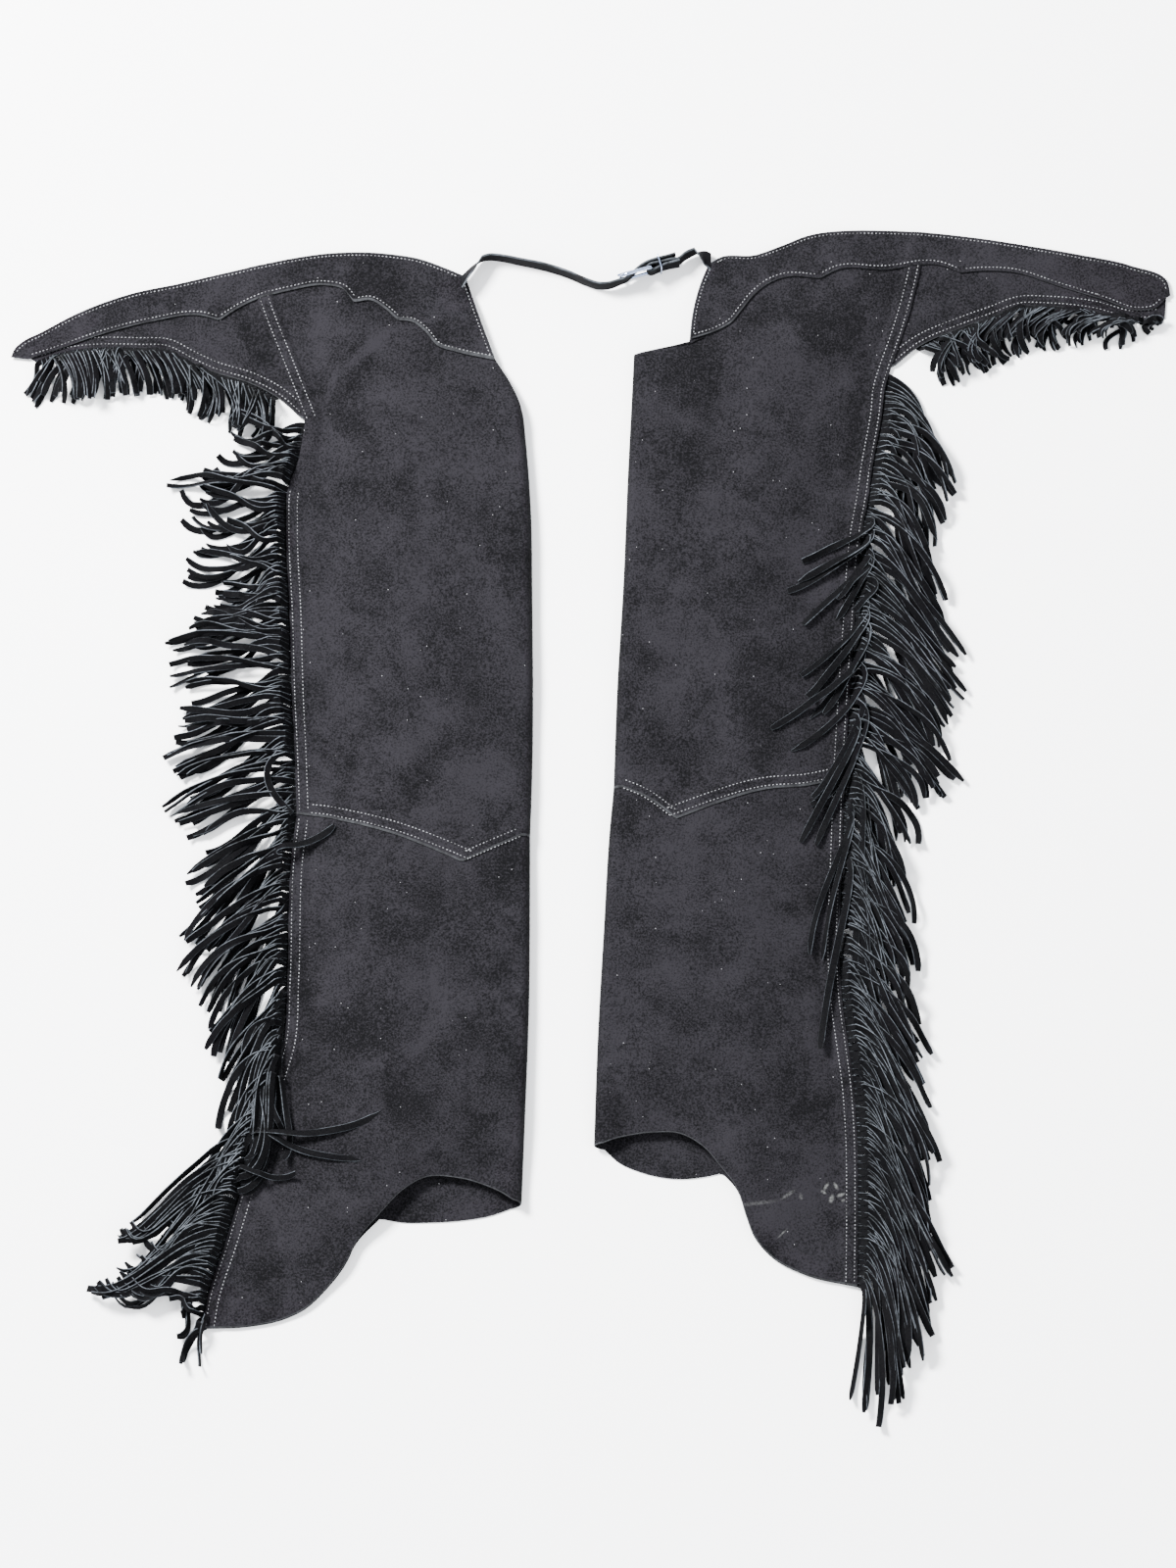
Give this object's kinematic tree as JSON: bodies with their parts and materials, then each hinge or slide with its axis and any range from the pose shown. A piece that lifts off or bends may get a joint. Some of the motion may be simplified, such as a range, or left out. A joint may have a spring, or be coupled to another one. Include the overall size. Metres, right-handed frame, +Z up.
{
  "type": "fringed western chaps, laid flat",
  "caption": "Suede shotgun chaps with scalloped waist yokes, pointed knee seams and long side fringe, laid flat with the front belt buckled.",
  "frame": {"origin": "on the surface that the garment lies on, below the middle of its bounding box", "axes": "+Z up, away from that surface, out of the garment's front; +Y from the hems to the waist; +X across, from the leg at the left of a person looking down on it to the other"},
  "size_m": [1.19, 1.2677, 0.03],
  "materials": {
    "suede": "charcoal black suede split, brushed nap, mottled by wear",
    "fringe_suede": "charcoal black suede split, with paler cut edges",
    "belt_leather": "black strap leather, dull, with grey cut edges",
    "buckle_chrome": "polished nickel chrome plate",
    "thread": "light grey polyester sewing thread"
  },
  "bodies": {
    "root": {"left_thigh_panel": "suede", "left_calf_panel": "suede", "left_hip_panel": "suede", "left_yoke": "suede", "left_side_fringe": "fringe_suede", "left_hip_fringe": "fringe_suede", "left_turned_fringe": "fringe_suede", "right_thigh_panel": "suede", "right_calf_panel": "suede", "right_hip_panel": "suede", "right_yoke": "suede", "right_side_fringe": "fringe_suede", "right_hip_fringe": "fringe_suede", "right_turned_fringe": "fringe_suede", "belt_billet": "belt_leather", "belt_buckle_strap": "belt_leather", "buckle_frame": "buckle_chrome", "buckle_prong": "buckle_chrome", "belt_keeper": "buckle_chrome"}
  },
  "joints": []
}
